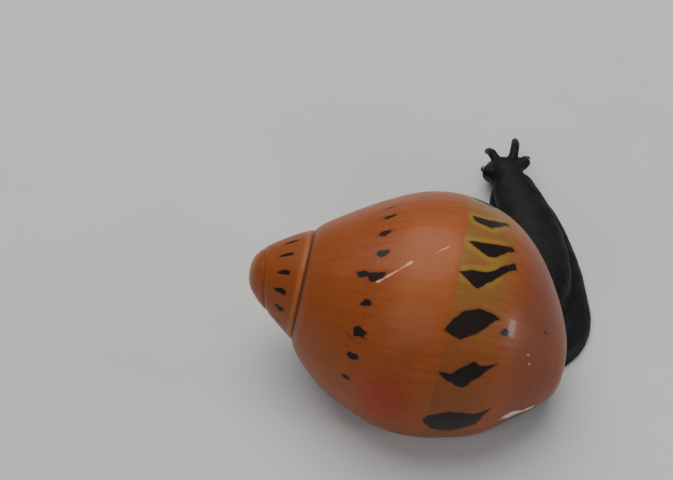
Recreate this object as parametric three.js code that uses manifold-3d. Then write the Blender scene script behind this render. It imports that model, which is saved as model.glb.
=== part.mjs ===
// Nerite snail with a red-orange shell and a black body, turning on the spot with its head bent round.
// Millimetres. The floor is Z = 0, X runs to the viewer's right and Y away from the viewer.
import * as THREE from "three";
import { mergeVertices } from "three/addons/utils/BufferGeometryUtils.js";
import Module from "manifold-3d";

const wasm = await Module();
wasm.setup();

const radians = THREE.MathUtils.degToRad;
const point = (x, y, z) => new THREE.Vector3(x, y, z);

// Clearance kept between parts that touch in the animal.
const GAP = 0.3;
// The whole animal is moved by this much so that its footprint is centred on the origin.
const CENTRING = point(0.201, -13.439, 0);

// How the shell sits: the back of the shell faces up and towards the viewer by the pitch,
// and its coiling axis leans by the roll, apex to the left and slightly raised.
const SHELL_PITCH = radians(50);
const SHELL_ROLL = radians(12);
const SHELL_MIDDLE = point(0, 7, 6.46);
const APEX_TO_MIDDLE = 14.29;

// Body whorl rings from the suture to the base: distance from the apex along the axis,
// ring radius, and how far the ring is shifted towards the growing side.
const WHORL_RINGS = [
  point(4.65, 4.05, 0.3),
  point(5.15, 4.95, 0.5),
  point(7.4, 6.75, 0.75),
  point(9.6, 7.95, 0.65),
  point(12.0, 8.95, 0.55),
  point(14.6, 9.28, 0.45),
  point(17.2, 8.9, 0.42),
  point(19.6, 7.98, 0.57),
  point(21.7, 6.25, 0.8),
  point(23.6, 4.1, 1.5),
  point(24.7, 2.2, 2.1),
  point(25.1, 0.05, 2.3),
];
// Spire rings from the apex to the suture, in the same measures.
const SPIRE_RINGS = [
  point(0.45, 0.05, 0),
  point(0.53, 0.75, 0),
  point(0.85, 1.4, 0.02),
  point(1.45, 2.05, 0.04),
  point(2.3, 2.72, 0.08),
  point(3.3, 3.42, 0.14),
  point(4.1, 3.9, 0.22),
  point(4.35, 3.85, 0.25),
];
const SHELL_WALL = 0.8;
const WHORL_STATIONS = 21;
const WHORL_SIDES = 44;
const CAVITY_STATIONS = 13;
const CAVITY_SIDES = 28;
const SPIRE_STATIONS = 9;
const SPIRE_SIDES = 32;
const SMALLEST_RADIUS = 0.04;
const WELD_DISTANCE = 1e-5;

// The flat underside of the shell: its angle round the axis, how deep it lies below the axis,
// and how much deeper it lies for each millimetre towards the apex.
const UNDERSIDE_ANGLE = radians(165);
const UNDERSIDE_DEPTH = 3.0;
const UNDERSIDE_SLOPE = 0.1;
// The aperture is the near half of the underside, from the columellar edge to the outer lip.
const COLUMELLA_EDGE = -0.9;
const APERTURE_UPPER_END = 6.6;
const APERTURE_ROOF = -2.4;
const DECK_THICKNESS = 0.9;
const TOOTH_COUNT = 9;
const TOOTH_RADIUS = 0.3;
const TOOTH_SPACING = 1.1;
const TOOTH_FIRST = 10;
const TOOTH_SIDES = 8;
// Height of a tooth as a share of the deck's thickness.
const TOOTH_SHARE = 0.8;

// The foot is swept along a bent line from the tail to the front:
// position along the floor in x and y, with half the width of the sole as the third value.
const FOOT_LINE = [
  point(-6.4, 10.9, 0.9),
  point(-4.6, 10.4, 2.5),
  point(-0.6, 9.6, 3.7),
  point(4.4, 8.9, 4.0),
  point(8.5, 9.9, 4.4),
  point(9.4, 13.5, 3.7),
  point(9.2, 17.5, 3.25),
  point(8.6, 21.0, 2.8),
  point(7.8, 23.7, 2.1),
  point(7.3, 25.0, 1.3),
];
// Height of the foot at the same stations.
const FOOT_HEIGHTS = [0.7, 1.1, 1.5, 1.7, 1.9, 1.8, 1.6, 1.4, 1.1, 0.7];
const FOOT_STATIONS = 25;
const FOOT_ARC_POINTS = 11;
const FOOT_ROUNDNESS = 2.5;
// Where the foot is parted, as shares of its length.
const FOOT_CUTS = [0.22, 0.46, 0.7];

// The fleshy column between the aperture and the foot.
const COLUMN_SIDES = 26;
// Its rings from inside the shell downwards: depth below the axis, distance towards the viewer,
// distance towards the base, half length and half width.
const COLUMN_RINGS = [
  [-2.0, 3.9, 0.9, 7.4, 4.2],
  [0.6, 3.9, 0.9, 7.4, 4.2],
  [2.6, 3.7, 1.2, 6.6, 3.6],
  [3.7, 3.1, 2.2, 5.9, 2.9],
];
const COLUMN_FOOT = point(4.6, 9.2, 0.4);
const COLUMN_FOOT_HALF_LENGTH = 5.6;
const COLUMN_FOOT_HALF_WIDTH = 2.9;
// The lid is kept this much further off the column than touching.
const LID_CLEARANCE = 0.01;
// The neck lies on the foot: centre line with half width and half height.
const NECK_LINE = [
  point(5.4, 7.6, 2.5),
  point(7.6, 10.4, 2.2),
  point(8.9, 13.4, 2.1),
  point(9.0, 16.6, 2.2),
  point(8.4, 20.0, 2.4),
  point(7.5, 23.2, 2.4),
];
const NECK_HALF_WIDTHS = [2.4, 2.9, 2.8, 2.5, 2.15, 1.7];
const NECK_HALF_HEIGHTS = [1.1, 1.4, 1.7, 1.6, 1.4, 1.25];
const NECK_STATIONS = 13;
const NECK_SIDES = 20;
// Where the neck begins at the column and ends at the head, along the floor in y.
const NECK_START = 12.6;
const NECK_MIDDLE = 18.0;
const NECK_END = 22.6;

// Head and snout, with their heading measured from straight away towards the left.
const HEADING = radians(26);
const HEAD_CENTRE = point(7.2, 24.1, 2.4);
const HEAD_RADII = point(1.45, 1.85, 1.35);
const SNOUT_CENTRE = point(6.6, 25.6, 1.3);
const SNOUT_RADII = point(1.4, 0.95, 1.05);
const HEAD_DETAIL = 16;
const SNOUT_DETAIL = 14;
// Rows of a sphere for each of its columns.
const SPHERE_ROW_SHARE = 0.6;

// Feelers: base and tip, with a radius at each.
const FEELER_ROOT_RADIUS = 0.45;
const FEELER_TIP_RADIUS = 0.26;
const FEELER_PARTING = 0.6;
const FEELER_SIDES = 9;
const FEELER_STATIONS = 9;
const LEFT_FEELER = [
  point(6.7, 24.6, 2.9),
  point(6.15, 25.9, 3.0),
  point(5.95, 27.0, 2.2),
  point(5.9, 28.0, 1.1),
];
const RIGHT_FEELER = [
  point(7.6, 24.9, 2.9),
  point(8.0, 26.4, 3.2),
  point(8.2, 28.0, 2.3),
  point(8.4, 29.3, 1.0),
];

// Eye stalks: short and thick, on the outer side of each feeler.
const STALK_ROOT_RADIUS = 0.58;
const STALK_TIP_RADIUS = 0.45;
const LEFT_STALK = [
  point(6.7, 24.0, 2.6),
  point(5.8, 24.15, 2.75),
  point(5.25, 24.3, 2.8),
];
const RIGHT_STALK = [
  point(7.7, 24.4, 2.6),
  point(8.6, 25.1, 2.75),
  point(9.0, 25.5, 2.8),
];
const EYE_RADIUS = 0.33;
const EYE_SINK = 0.4;
const EYE_DETAIL = 12;

// The horny-limy lid on the back of the foot's rear.
const LID_CENTRE = point(-1.3, 9.7, 0);
const LID_HALF_LENGTH = 3.6;
const LID_HALF_WIDTH = 2.3;
const LID_THICKNESS = 0.7;
const LID_PRISM_START = 0.2;
const LID_PRISM_DEPTH = 6;
const LID_CURVE_STEPS = 12;
const LID_TURN = radians(-9);

// Directions of the shell frame.
const towardsApex = point(
  -Math.cos(SHELL_ROLL),
  Math.sin(SHELL_ROLL) * Math.sin(SHELL_PITCH),
  Math.sin(SHELL_ROLL) * Math.cos(SHELL_PITCH),
);
const backFacing = point(0, -Math.cos(SHELL_PITCH), Math.sin(SHELL_PITCH));
const growing = point(
  -Math.sin(SHELL_ROLL),
  -Math.cos(SHELL_ROLL) * Math.sin(SHELL_PITCH),
  -Math.cos(SHELL_ROLL) * Math.cos(SHELL_PITCH),
);
const apex = SHELL_MIDDLE.clone().addScaledVector(towardsApex, APEX_TO_MIDDLE);

function around(angle) {
  return backFacing.clone().multiplyScalar(Math.cos(angle)).addScaledVector(growing, Math.sin(angle));
}

const underside = around(UNDERSIDE_ANGLE);
const nearwards = around(UNDERSIDE_ANGLE - Math.PI / 2);

function shellPoint(along, radius, shift, angle) {
  return apex
    .clone()
    .addScaledVector(towardsApex, -along)
    .addScaledVector(growing, shift)
    .addScaledVector(around(angle), radius);
}

// Closed solid through rings of equal length, with a centre point closing each end.
function loft(rings) {
  const sides = rings[0].length;
  const positions = [];
  const faces = [];
  for (const ring of rings) {
    for (const p of ring) {
      positions.push(p.x, p.y, p.z);
    }
  }
  for (const ring of [rings[0], rings[rings.length - 1]]) {
    const middle = point(0, 0, 0);
    for (const p of ring) {
      middle.addScaledVector(p, 1 / sides);
    }
    positions.push(middle.x, middle.y, middle.z);
  }
  const startMiddle = rings.length * sides;
  const lastRing = (rings.length - 1) * sides;
  for (let i = 0; i < sides; i += 1) {
    const next = (i + 1) % sides;
    for (let j = 0; j < rings.length - 1; j += 1) {
      const here = j * sides;
      const there = here + sides;
      faces.push(here + i, here + next, there + next);
      faces.push(here + i, there + next, there + i);
    }
    faces.push(startMiddle, next, i);
    faces.push(startMiddle + 1, lastRing + i, lastRing + next);
  }
  const geometry = new THREE.BufferGeometry();
  geometry.setAttribute("position", new THREE.Float32BufferAttribute(positions, 3));
  geometry.setIndex(faces);
  return solid(geometry);
}

// Solid from a closed geometry, turned right side out.
function solid(source) {
  const bare = source.clone();
  bare.deleteAttribute("normal");
  bare.deleteAttribute("uv");
  const merged = mergeVertices(bare, WELD_DISTANCE);
  const faces = new Uint32Array(merged.index.array);
  const vertices = merged.attributes.position.array;
  const makeMesh = () => new wasm.Mesh({ numProp: 3, vertProperties: vertices, triVerts: faces });
  const make = () => new wasm.Manifold(makeMesh());
  let made = make();
  if (made.volume() < 0) {
    for (let i = 0; i < faces.length; i += 3) {
      [faces[i + 1], faces[i + 2]] = [faces[i + 2], faces[i + 1]];
    }
    made = make();
  }
  return made;
}

// Keeps what lies on the side of the plane that the direction points to.
function keep(body, direction, through) {
  const unit = direction.clone().normalize();
  return body.trimByPlane([unit.x, unit.y, unit.z], unit.dot(through));
}

function stretchedSphere(centre, radii, turn, detail) {
  const geometry = new THREE.SphereGeometry(1, detail, Math.round(detail * SPHERE_ROW_SHARE));
  geometry.scale(radii.x, radii.y, radii.z);
  geometry.rotateZ(turn);
  geometry.translate(centre.x, centre.y, centre.z);
  return solid(geometry);
}

// Shell.
function shellBody(ringList, stations, sides, inset, ends) {
  const line = new THREE.CatmullRomCurve3(ringList, false, "centripetal");
  const middle = (ringList[0].x + ringList[ringList.length - 1].x) / 2;
  const half = (ringList[ringList.length - 1].x - ringList[0].x) / 2;
  const squeeze = (half - inset * ends) / half;
  const rings = [];
  for (let j = 0; j <= stations; j += 1) {
    const at = line.getPoint(j / stations);
    const along = middle + (at.x - middle) * squeeze;
    const radius = Math.max(at.y - inset, SMALLEST_RADIUS);
    const ring = [];
    for (let i = 0; i < sides; i += 1) {
      ring.push(shellPoint(along, radius, at.z, (2 * Math.PI * i) / sides));
    }
    rings.push(ring);
  }
  return loft(rings);
}

const undersideNormal = underside.clone().addScaledVector(towardsApex, -UNDERSIDE_SLOPE).normalize();
const onUnderside = SHELL_MIDDLE.clone().addScaledVector(underside, UNDERSIDE_DEPTH);
const above = undersideNormal.clone().negate();
const onEdge = SHELL_MIDDLE.clone().addScaledVector(nearwards, COLUMELLA_EDGE);

function offsetFrom(origin, direction, distance) {
  return origin.clone().addScaledVector(direction, distance);
}

const floorUp = point(0, 0, 1);
const floorPoint = point(0, 0, 0);
const wholeWhorl = shellBody(WHORL_RINGS, WHORL_STATIONS, WHORL_SIDES, 0, 0);
const cutWhorl = keep(wholeWhorl, above, onUnderside);
const basewards = towardsApex.clone().negate();
// The whorl grown by the gap clears the room that its neighbours need.
const grownWhorl = shellBody(WHORL_RINGS, CAVITY_STATIONS, CAVITY_SIDES, -GAP, 1);

function cavity(extra) {
  let hollow = shellBody(WHORL_RINGS, CAVITY_STATIONS, CAVITY_SIDES, SHELL_WALL + extra, 1);
  hollow = keep(hollow, nearwards, offsetFrom(onEdge, nearwards, extra));
  hollow = keep(hollow, undersideNormal, offsetFrom(SHELL_MIDDLE, undersideNormal, APERTURE_ROOF + extra));
  return keep(hollow, basewards, offsetFrom(apex, basewards, APERTURE_UPPER_END + extra));
}

const deckTop = offsetFrom(onUnderside, above, DECK_THICKNESS);
const farwards = nearwards.clone().negate();
const deckRoomEdge = offsetFrom(onEdge, nearwards, GAP);
const deckLayer = keep(grownWhorl, undersideNormal, offsetFrom(deckTop, above, GAP));
const deckZone = keep(deckLayer, farwards, deckRoomEdge);
const bodyWhorl = keep(cutWhorl.subtract(cavity(0)).subtract(deckZone), floorUp, floorPoint);

let deck = keep(keep(cutWhorl, undersideNormal, deckTop), farwards, onEdge);
for (let i = 0; i < TOOTH_COUNT; i += 1) {
  const toothHeight = DECK_THICKNESS * TOOTH_SHARE;
  const tooth = new THREE.CylinderGeometry(TOOTH_RADIUS, TOOTH_RADIUS, toothHeight, TOOTH_SIDES);
  const seat = offsetFrom(onEdge, towardsApex, APEX_TO_MIDDLE - TOOTH_FIRST - TOOTH_SPACING * i);
  const depth = undersideNormal.dot(onUnderside.clone().sub(seat)) - DECK_THICKNESS / 2;
  tooth.applyQuaternion(new THREE.Quaternion().setFromUnitVectors(point(0, 1, 0), undersideNormal));
  const place = offsetFrom(seat, undersideNormal, depth);
  tooth.translate(place.x, place.y, place.z);
  deck = deck.add(solid(tooth));
}

const spire = shellBody(SPIRE_RINGS, SPIRE_STATIONS, SPIRE_SIDES, 0, 0);

// What the flesh stays clear of: the shell grown by the gap, less the shrunken cavity.
const grownShell = keep(grownWhorl, above, offsetFrom(onUnderside, undersideNormal, GAP));
const shellRoom = grownShell.subtract(cavity(GAP));

// Foot.
function endGrowth(station, extra) {
  if (station === 0) {
    return -extra;
  }
  return station === FOOT_STATIONS ? extra : 0;
}

function footBody(extra) {
  const line = new THREE.CatmullRomCurve3(FOOT_LINE, false, "centripetal");
  const last = FOOT_HEIGHTS.length - 1;
  const rings = [];
  for (let j = 0; j <= FOOT_STATIONS; j += 1) {
    const t = j / FOOT_STATIONS;
    const at = line.getPoint(t);
    const tangent = line.getTangent(t);
    const side = point(tangent.y, -tangent.x, 0).normalize();
    const index = Math.min(Math.floor(t * last), last - 1);
    const share = t * last - index;
    const rise = FOOT_HEIGHTS[index] * (1 - share) + FOOT_HEIGHTS[index + 1] * share + extra;
    const ring = [];
    for (let i = 0; i <= FOOT_ARC_POINTS; i += 1) {
      const angle = (Math.PI * i) / FOOT_ARC_POINTS;
      const across = Math.sign(Math.cos(angle)) * Math.abs(Math.cos(angle)) ** (2 / FOOT_ROUNDNESS);
      const up = Math.sin(angle) ** (2 / FOOT_ROUNDNESS);
      const p = point(at.x, at.y, up * rise).addScaledVector(side, across * (at.z + extra));
      ring.push(p);
    }
    ring.push(point(at.x, at.y, 0));
    if (extra > 0) {
      for (const p of ring) {
        p.addScaledVector(point(tangent.x, tangent.y, 0), endGrowth(j, extra));
      }
    }
    rings.push(ring);
  }
  return loft(rings);
}

const wholeFoot = footBody(0).subtract(shellRoom);
const footRoom = footBody(GAP);
const footLine = new THREE.CatmullRomCurve3(FOOT_LINE, false, "centripetal");

function footLength(from, to) {
  let piece = wholeFoot;
  if (from > 0) {
    const at = footLine.getPoint(from);
    const way = footLine.getTangent(from).setZ(0).normalize();
    piece = keep(piece, way, offsetFrom(point(at.x, at.y, 0), way, GAP / 2));
  }
  if (to < 1) {
    const at = footLine.getPoint(to);
    const way = footLine.getTangent(to).setZ(0).normalize().negate();
    piece = keep(piece, way, offsetFrom(point(at.x, at.y, 0), way, GAP / 2));
  }
  return piece;
}

// Column of flesh from the aperture to the foot.
function ellipse(centre, first, second, firstRadius, secondRadius, sides) {
  const ring = [];
  for (let i = 0; i < sides; i += 1) {
    const angle = (2 * Math.PI * i) / sides;
    ring.push(
      centre
        .clone()
        .addScaledVector(first, Math.cos(angle) * firstRadius)
        .addScaledVector(second, Math.sin(angle) * secondRadius),
    );
  }
  return ring;
}

function columnCentre(depth, near, along) {
  return SHELL_MIDDLE.clone()
    .addScaledVector(underside, depth)
    .addScaledVector(nearwards, near)
    .addScaledVector(basewards, along);
}

const rightwards = point(1, 0, 0);
const onwards = point(0, -1, 0);
const columnRings = COLUMN_RINGS.map(([depth, near, along, halfLength, halfWidth]) =>
  ellipse(columnCentre(depth, near, along), basewards, nearwards, halfLength, halfWidth, COLUMN_SIDES),
);
columnRings.push(
  ellipse(COLUMN_FOOT, rightwards, onwards, COLUMN_FOOT_HALF_LENGTH, COLUMN_FOOT_HALF_WIDTH, COLUMN_SIDES),
);

// Neck and head.
function neckBody() {
  const line = new THREE.CatmullRomCurve3(NECK_LINE, false, "centripetal");
  const last = NECK_LINE.length - 1;
  const rings = [];
  for (let j = 0; j <= NECK_STATIONS; j += 1) {
    const t = j / NECK_STATIONS;
    const at = line.getPoint(t);
    const tangent = line.getTangent(t);
    const side = point(tangent.y, -tangent.x, 0).normalize();
    const index = Math.min(Math.floor(t * last), last - 1);
    const share = t * last - index;
    const wide = NECK_HALF_WIDTHS[index] * (1 - share) + NECK_HALF_WIDTHS[index + 1] * share;
    const high = NECK_HALF_HEIGHTS[index] * (1 - share) + NECK_HALF_HEIGHTS[index + 1] * share;
    rings.push(ellipse(at, side, floorUp, wide, high, NECK_SIDES));
  }
  return loft(rings);
}

function headBody(extra) {
  const grown = (radii) => point(radii.x + extra, radii.y + extra, radii.z + extra);
  return stretchedSphere(HEAD_CENTRE, grown(HEAD_RADII), HEADING, HEAD_DETAIL);
}

const snoutShape = stretchedSphere(SNOUT_CENTRE, SNOUT_RADII, HEADING, SNOUT_DETAIL);
const neckWhole = neckBody().add(loft(columnRings)).subtract(shellRoom).subtract(footRoom);
const northwards = point(0, 1, 0);
const southwards = point(0, -1, 0);
const neckJoint = point(0, NECK_START, 0);
const neckMiddle = point(0, NECK_MIDDLE, 0);
const headJoint = point(0, NECK_END, 0);
const columnPart = keep(neckWhole, southwards, offsetFrom(neckJoint, southwards, GAP / 2));
const neckRear = keep(
  keep(neckWhole, northwards, offsetFrom(neckJoint, northwards, GAP / 2)),
  southwards,
  offsetFrom(neckMiddle, southwards, GAP / 2),
);
const neckFront = keep(
  keep(neckWhole, northwards, offsetFrom(neckMiddle, northwards, GAP / 2)),
  southwards,
  offsetFrom(headJoint, southwards, GAP / 2),
);
const headRoom = headBody(GAP);
const headWhole = headBody(0).add(neckBody()).subtract(footRoom);
const head = keep(headWhole, northwards, offsetFrom(headJoint, northwards, GAP / 2));
const snout = keep(snoutShape.subtract(headRoom).subtract(footRoom), floorUp, floorPoint);

function rod(points, rootRadius, tipRadius) {
  const line = new THREE.CatmullRomCurve3(points, false, "centripetal");
  const frames = line.computeFrenetFrames(FEELER_STATIONS, false);
  const rings = [];
  for (let j = 0; j <= FEELER_STATIONS; j += 1) {
    const t = j / FEELER_STATIONS;
    const radius = rootRadius + (tipRadius - rootRadius) * t;
    const centre = line.getPointAt(t);
    rings.push(ellipse(centre, frames.normals[j], frames.binormals[j], radius, radius, FEELER_SIDES));
  }
  return loft(rings);
}

function feeler(points, prefix) {
  const line = new THREE.CatmullRomCurve3(points, false, "centripetal");
  const whole = rod(points, FEELER_ROOT_RADIUS, FEELER_TIP_RADIUS).subtract(headRoom).subtract(snoutRoom);
  const parting = line.getPointAt(FEELER_PARTING);
  const way = line.getTangentAt(FEELER_PARTING);
  const back = way.clone().negate();
  return [
    [prefix + "_base", keep(whole, back, offsetFrom(parting, back, GAP / 2))],
    [prefix + "_tip", keep(whole, way, offsetFrom(parting, way, GAP / 2))],
  ];
}

const snoutRoom = stretchedSphere(
  SNOUT_CENTRE,
  SNOUT_RADII.clone().addScalar(GAP),
  HEADING,
  SNOUT_DETAIL,
);

// The stalk ends in a flat face, and the eye's flat back stands off it by the gap.
function stalkAndEye(points, side) {
  const tip = points[points.length - 1];
  const way = tip.clone().sub(points[points.length - 2]).normalize();
  const shaft = rod(points, STALK_ROOT_RADIUS, STALK_TIP_RADIUS).subtract(headRoom);
  const eyeCentre = offsetFrom(tip, way, GAP + EYE_RADIUS * EYE_SINK);
  const ball = stretchedSphere(eyeCentre, point(EYE_RADIUS, EYE_RADIUS, EYE_RADIUS), 0, EYE_DETAIL);
  return [
    ["eye_stalk_" + side, shaft],
    ["eye_" + side, keep(ball, way, offsetFrom(tip, way, GAP))],
  ];
}

// Lid: a half-moon cut from a layer that follows the top of the foot.
function lid() {
  const outline = new THREE.Shape();
  outline.absellipse(0, 0, LID_HALF_LENGTH, LID_HALF_WIDTH, 0, 2 * Math.PI, false, 0);
  const options = { depth: LID_PRISM_DEPTH, bevelEnabled: false, curveSegments: LID_CURVE_STEPS };
  const prism = new THREE.ExtrudeGeometry(outline, options);
  prism.rotateZ(LID_TURN);
  prism.translate(LID_CENTRE.x, LID_CENTRE.y, LID_PRISM_START);
  return footBody(GAP + LID_THICKNESS).subtract(footRoom).intersect(solid(prism)).subtract(lidClear);
}

const raisedColumn = columnRings.map((ring) => ring.map((p) => p.clone().add(point(0, 0, LID_CLEARANCE))));
const lidClear = shellRoom.add(loft(raisedColumn));

// Materials seen on the animal.
function finish(colour, roughness) {
  return new THREE.MeshStandardMaterial({ color: colour, roughness, metalness: 0 });
}

const SHELL_FINISH = finish(0xb5622c, 0.25);
const DECK_FINISH = finish(0xe8dcc4, 0.35);
const LID_FINISH = finish(0x8a7a6c, 0.45);
const FLESH_FINISH = finish(0x141415, 0.6);
const EYE_FINISH = finish(0x050506, 0.1);

function largest(body) {
  const pieces = body.decompose();
  pieces.sort((p, q) => q.volume() - p.volume());
  return pieces[0];
}

function meshOf(name, body, material) {
  const data = largest(body).getMesh();
  const geometry = new THREE.BufferGeometry();
  const stride = data.numProp;
  const positions = [];
  for (let i = 0; i < data.vertProperties.length; i += stride) {
    positions.push(data.vertProperties[i], data.vertProperties[i + 1], data.vertProperties[i + 2]);
  }
  geometry.setAttribute("position", new THREE.Float32BufferAttribute(positions, 3));
  geometry.setIndex(Array.from(data.triVerts));
  geometry.computeVertexNormals();
  const mesh = new THREE.Mesh(geometry, material);
  mesh.name = name;
  return mesh;
}

const snail = new THREE.Group();
const parts = [
  ["shell_body_whorl", bodyWhorl, SHELL_FINISH],
  ["shell_spire", spire, SHELL_FINISH],
  ["shell_deck", deck, DECK_FINISH],
  ["operculum", lid(), LID_FINISH],
  ["foot_tail", footLength(0, FOOT_CUTS[0]), FLESH_FINISH],
  ["foot_middle", footLength(FOOT_CUTS[0], FOOT_CUTS[1]), FLESH_FINISH],
  ["foot_bend", footLength(FOOT_CUTS[1], FOOT_CUTS[2]), FLESH_FINISH],
  ["foot_front", footLength(FOOT_CUTS[2], 1), FLESH_FINISH],
  ["body_column", columnPart, FLESH_FINISH],
  ["neck_rear", neckRear, FLESH_FINISH],
  ["neck_front", neckFront, FLESH_FINISH],
  ["head", head, FLESH_FINISH],
  ["snout", snout, FLESH_FINISH],
];
const feelers = [...feeler(LEFT_FEELER, "tentacle_left"), ...feeler(RIGHT_FEELER, "tentacle_right")];
for (const [name, body] of feelers) {
  parts.push([name, body, FLESH_FINISH]);
}
const stalksAndEyes = [...stalkAndEye(LEFT_STALK, "left"), ...stalkAndEye(RIGHT_STALK, "right")];
for (const [name, body] of stalksAndEyes) {
  parts.push([name, body, name.startsWith("eye_stalk") ? FLESH_FINISH : EYE_FINISH]);
}
for (const [name, body, material] of parts) {
  snail.add(meshOf(name, body, material));
}
snail.position.copy(CENTRING);

export default snail;
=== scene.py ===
"""Nerite snail with a glossy red-orange shell and a black body, on a pale floor."""

import math

import bpy
import numpy as np
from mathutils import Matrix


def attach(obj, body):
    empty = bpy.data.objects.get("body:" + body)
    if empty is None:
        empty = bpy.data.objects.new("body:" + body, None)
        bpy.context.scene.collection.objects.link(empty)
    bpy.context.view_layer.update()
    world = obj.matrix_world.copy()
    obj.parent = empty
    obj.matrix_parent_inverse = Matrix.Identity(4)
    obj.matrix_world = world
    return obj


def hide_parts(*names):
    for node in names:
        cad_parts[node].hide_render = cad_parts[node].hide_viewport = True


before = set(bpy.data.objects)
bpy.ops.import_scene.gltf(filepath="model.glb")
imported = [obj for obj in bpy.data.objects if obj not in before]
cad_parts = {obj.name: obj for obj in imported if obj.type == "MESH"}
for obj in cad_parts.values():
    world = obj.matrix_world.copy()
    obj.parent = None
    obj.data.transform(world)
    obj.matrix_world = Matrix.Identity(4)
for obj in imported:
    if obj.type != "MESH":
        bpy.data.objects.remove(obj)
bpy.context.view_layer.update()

# Lengths below are millimetres; this turns them into metres.
MM = 0.001
CENTRING = np.array([0.201, -13.439, 0.0])

# Shell frame, as in the solids.
SHELL_PITCH = math.radians(50)
SHELL_ROLL = math.radians(12)
SHELL_MIDDLE = np.array([0.0, 7.0, 6.46])
APEX_TO_MIDDLE = 14.29
UNDERSIDE_ANGLE = math.radians(165)
UNDERSIDE_DEPTH = 3.0
UNDERSIDE_SLOPE = 0.1
COLUMELLA_EDGE = -0.9

TOWARDS_APEX = np.array(
    [
        -math.cos(SHELL_ROLL),
        math.sin(SHELL_ROLL) * math.sin(SHELL_PITCH),
        math.sin(SHELL_ROLL) * math.cos(SHELL_PITCH),
    ]
)
BACK_FACING = np.array([0.0, -math.cos(SHELL_PITCH), math.sin(SHELL_PITCH)])
GROWING = np.array(
    [
        -math.sin(SHELL_ROLL),
        -math.cos(SHELL_ROLL) * math.sin(SHELL_PITCH),
        -math.cos(SHELL_ROLL) * math.cos(SHELL_PITCH),
    ]
)
APEX = SHELL_MIDDLE + TOWARDS_APEX * APEX_TO_MIDDLE


def around(angle):
    """Direction away from the coiling axis at an angle, for one angle or an array."""
    angle = np.asarray(angle)
    return np.cos(angle)[..., None] * BACK_FACING + np.sin(angle)[..., None] * GROWING


UNDERSIDE = around(UNDERSIDE_ANGLE)
NEARWARDS = around(UNDERSIDE_ANGLE - math.pi / 2)
UNDERSIDE_NORMAL = UNDERSIDE - TOWARDS_APEX * UNDERSIDE_SLOPE
UNDERSIDE_NORMAL = UNDERSIDE_NORMAL / np.linalg.norm(UNDERSIDE_NORMAL)
ON_UNDERSIDE = SHELL_MIDDLE + UNDERSIDE * UNDERSIDE_DEPTH

# Whorl rings: distance from the apex, radius, shift towards the growing side.
WHORL_RINGS = [
    (4.5, 3.7, 0.28),
    (4.56, 4.02, 0.3),
    (4.74, 4.4, 0.4),
    (5.15, 4.95, 0.5),
    (7.4, 6.75, 0.75),
    (9.6, 7.95, 0.65),
    (12.0, 8.95, 0.55),
    (14.6, 9.28, 0.45),
    (17.2, 8.9, 0.42),
    (19.6, 7.98, 0.57),
    (21.7, 6.25, 0.8),
    (23.6, 4.1, 1.5),
    (24.7, 2.2, 2.1),
    (25.1, 0.05, 2.3),
]
SPIRE_RINGS = [
    (0.45, 0.03, 0.0),
    (0.53, 0.75, 0.0),
    (0.85, 1.4, 0.02),
    (1.45, 2.05, 0.04),
    (2.3, 2.72, 0.08),
    (3.3, 3.42, 0.14),
    (4.1, 3.93, 0.22),
    (4.45, 4.13, 0.27),
    (4.62, 4.12, 0.29),
]


def curve_points(controls, shares):
    """Points of a smooth line through the controls, at shares of the line from 0 to 1."""
    pts = np.array(controls, float)
    last = len(pts) - 1
    before = 2 * pts[0] - pts[1]
    after = 2 * pts[-1] - pts[-2]
    padded = np.vstack([before, pts, after])
    out = []
    for share in shares:
        spot = min(share * last, last - 1e-9)
        k = int(spot)
        w = spot - k
        p0, p1, p2, p3 = padded[k : k + 4]
        d0 = max(np.linalg.norm(p0 - p1) ** 0.5, 1e-4)
        d1 = max(np.linalg.norm(p1 - p2) ** 0.5, 1e-4)
        d2 = max(np.linalg.norm(p2 - p3) ** 0.5, 1e-4)
        m1 = ((p1 - p0) / d0 - (p2 - p0) / (d0 + d1) + (p2 - p1) / d1) * d1
        m2 = ((p2 - p1) / d1 - (p3 - p1) / (d1 + d2) + (p3 - p2) / d2) * d1
        square_term = (3 * p2 - 3 * p1 - 2 * m1 - m2) * w * w
        cube_term = (2 * p1 - 2 * p2 + m1 + m2) * w**3
        out.append(p1 + m1 * w + square_term + cube_term)
    return np.array(out)


def smooth(value, low, high):
    """0 below low, 1 above high, and an even turn between."""
    t = np.clip((np.asarray(value, float) - low) / (high - low), 0, 1)
    return t * t * (3 - 2 * t)


def shell_points(along, radius, shift, angle):
    """Points on rings round the coiling axis."""
    base = APEX[None, :] - along[:, None] * TOWARDS_APEX + shift[:, None] * GROWING
    return base + radius[:, None] * around(angle)


def make_object(name, points, faces, attributes=None):
    """Smooth-shaded mesh from points in millimetres, with one float per point for each attribute."""
    mesh = bpy.data.meshes.new(name)
    mesh.from_pydata(((np.asarray(points) + CENTRING) * MM).tolist(), [], faces)
    mesh.polygons.foreach_set("use_smooth", [True] * len(mesh.polygons))
    for key, values in (attributes or {}).items():
        layer = mesh.attributes.new(key, "FLOAT", "POINT")
        layer.data.foreach_set("value", np.asarray(values, np.float32))
    mesh.update()
    obj = bpy.data.objects.new(name, mesh)
    bpy.context.collection.objects.link(obj)
    return obj


def grid_faces(rows, columns, wrap=False, flip=False):
    faces = []
    reach = columns if wrap else columns - 1
    for j in range(rows - 1):
        for i in range(reach):
            a = j * columns + i
            b = j * columns + (i + 1) % columns
            face = (a, b, b + columns, a + columns)
            faces.append(face[::-1] if flip else face)
    return faces


# The camera. Marks in view are placed by the pixel of the photograph where each is seen.
PHOTO_WIDTH = 673
PHOTO_MIDDLE = (336.5, 240.0)
SENSOR_WIDTH = 36.0
LENS = 88.93
CAMERA_ELEVATION = 50.0
CAMERA_DISTANCE = 125.0
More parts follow.
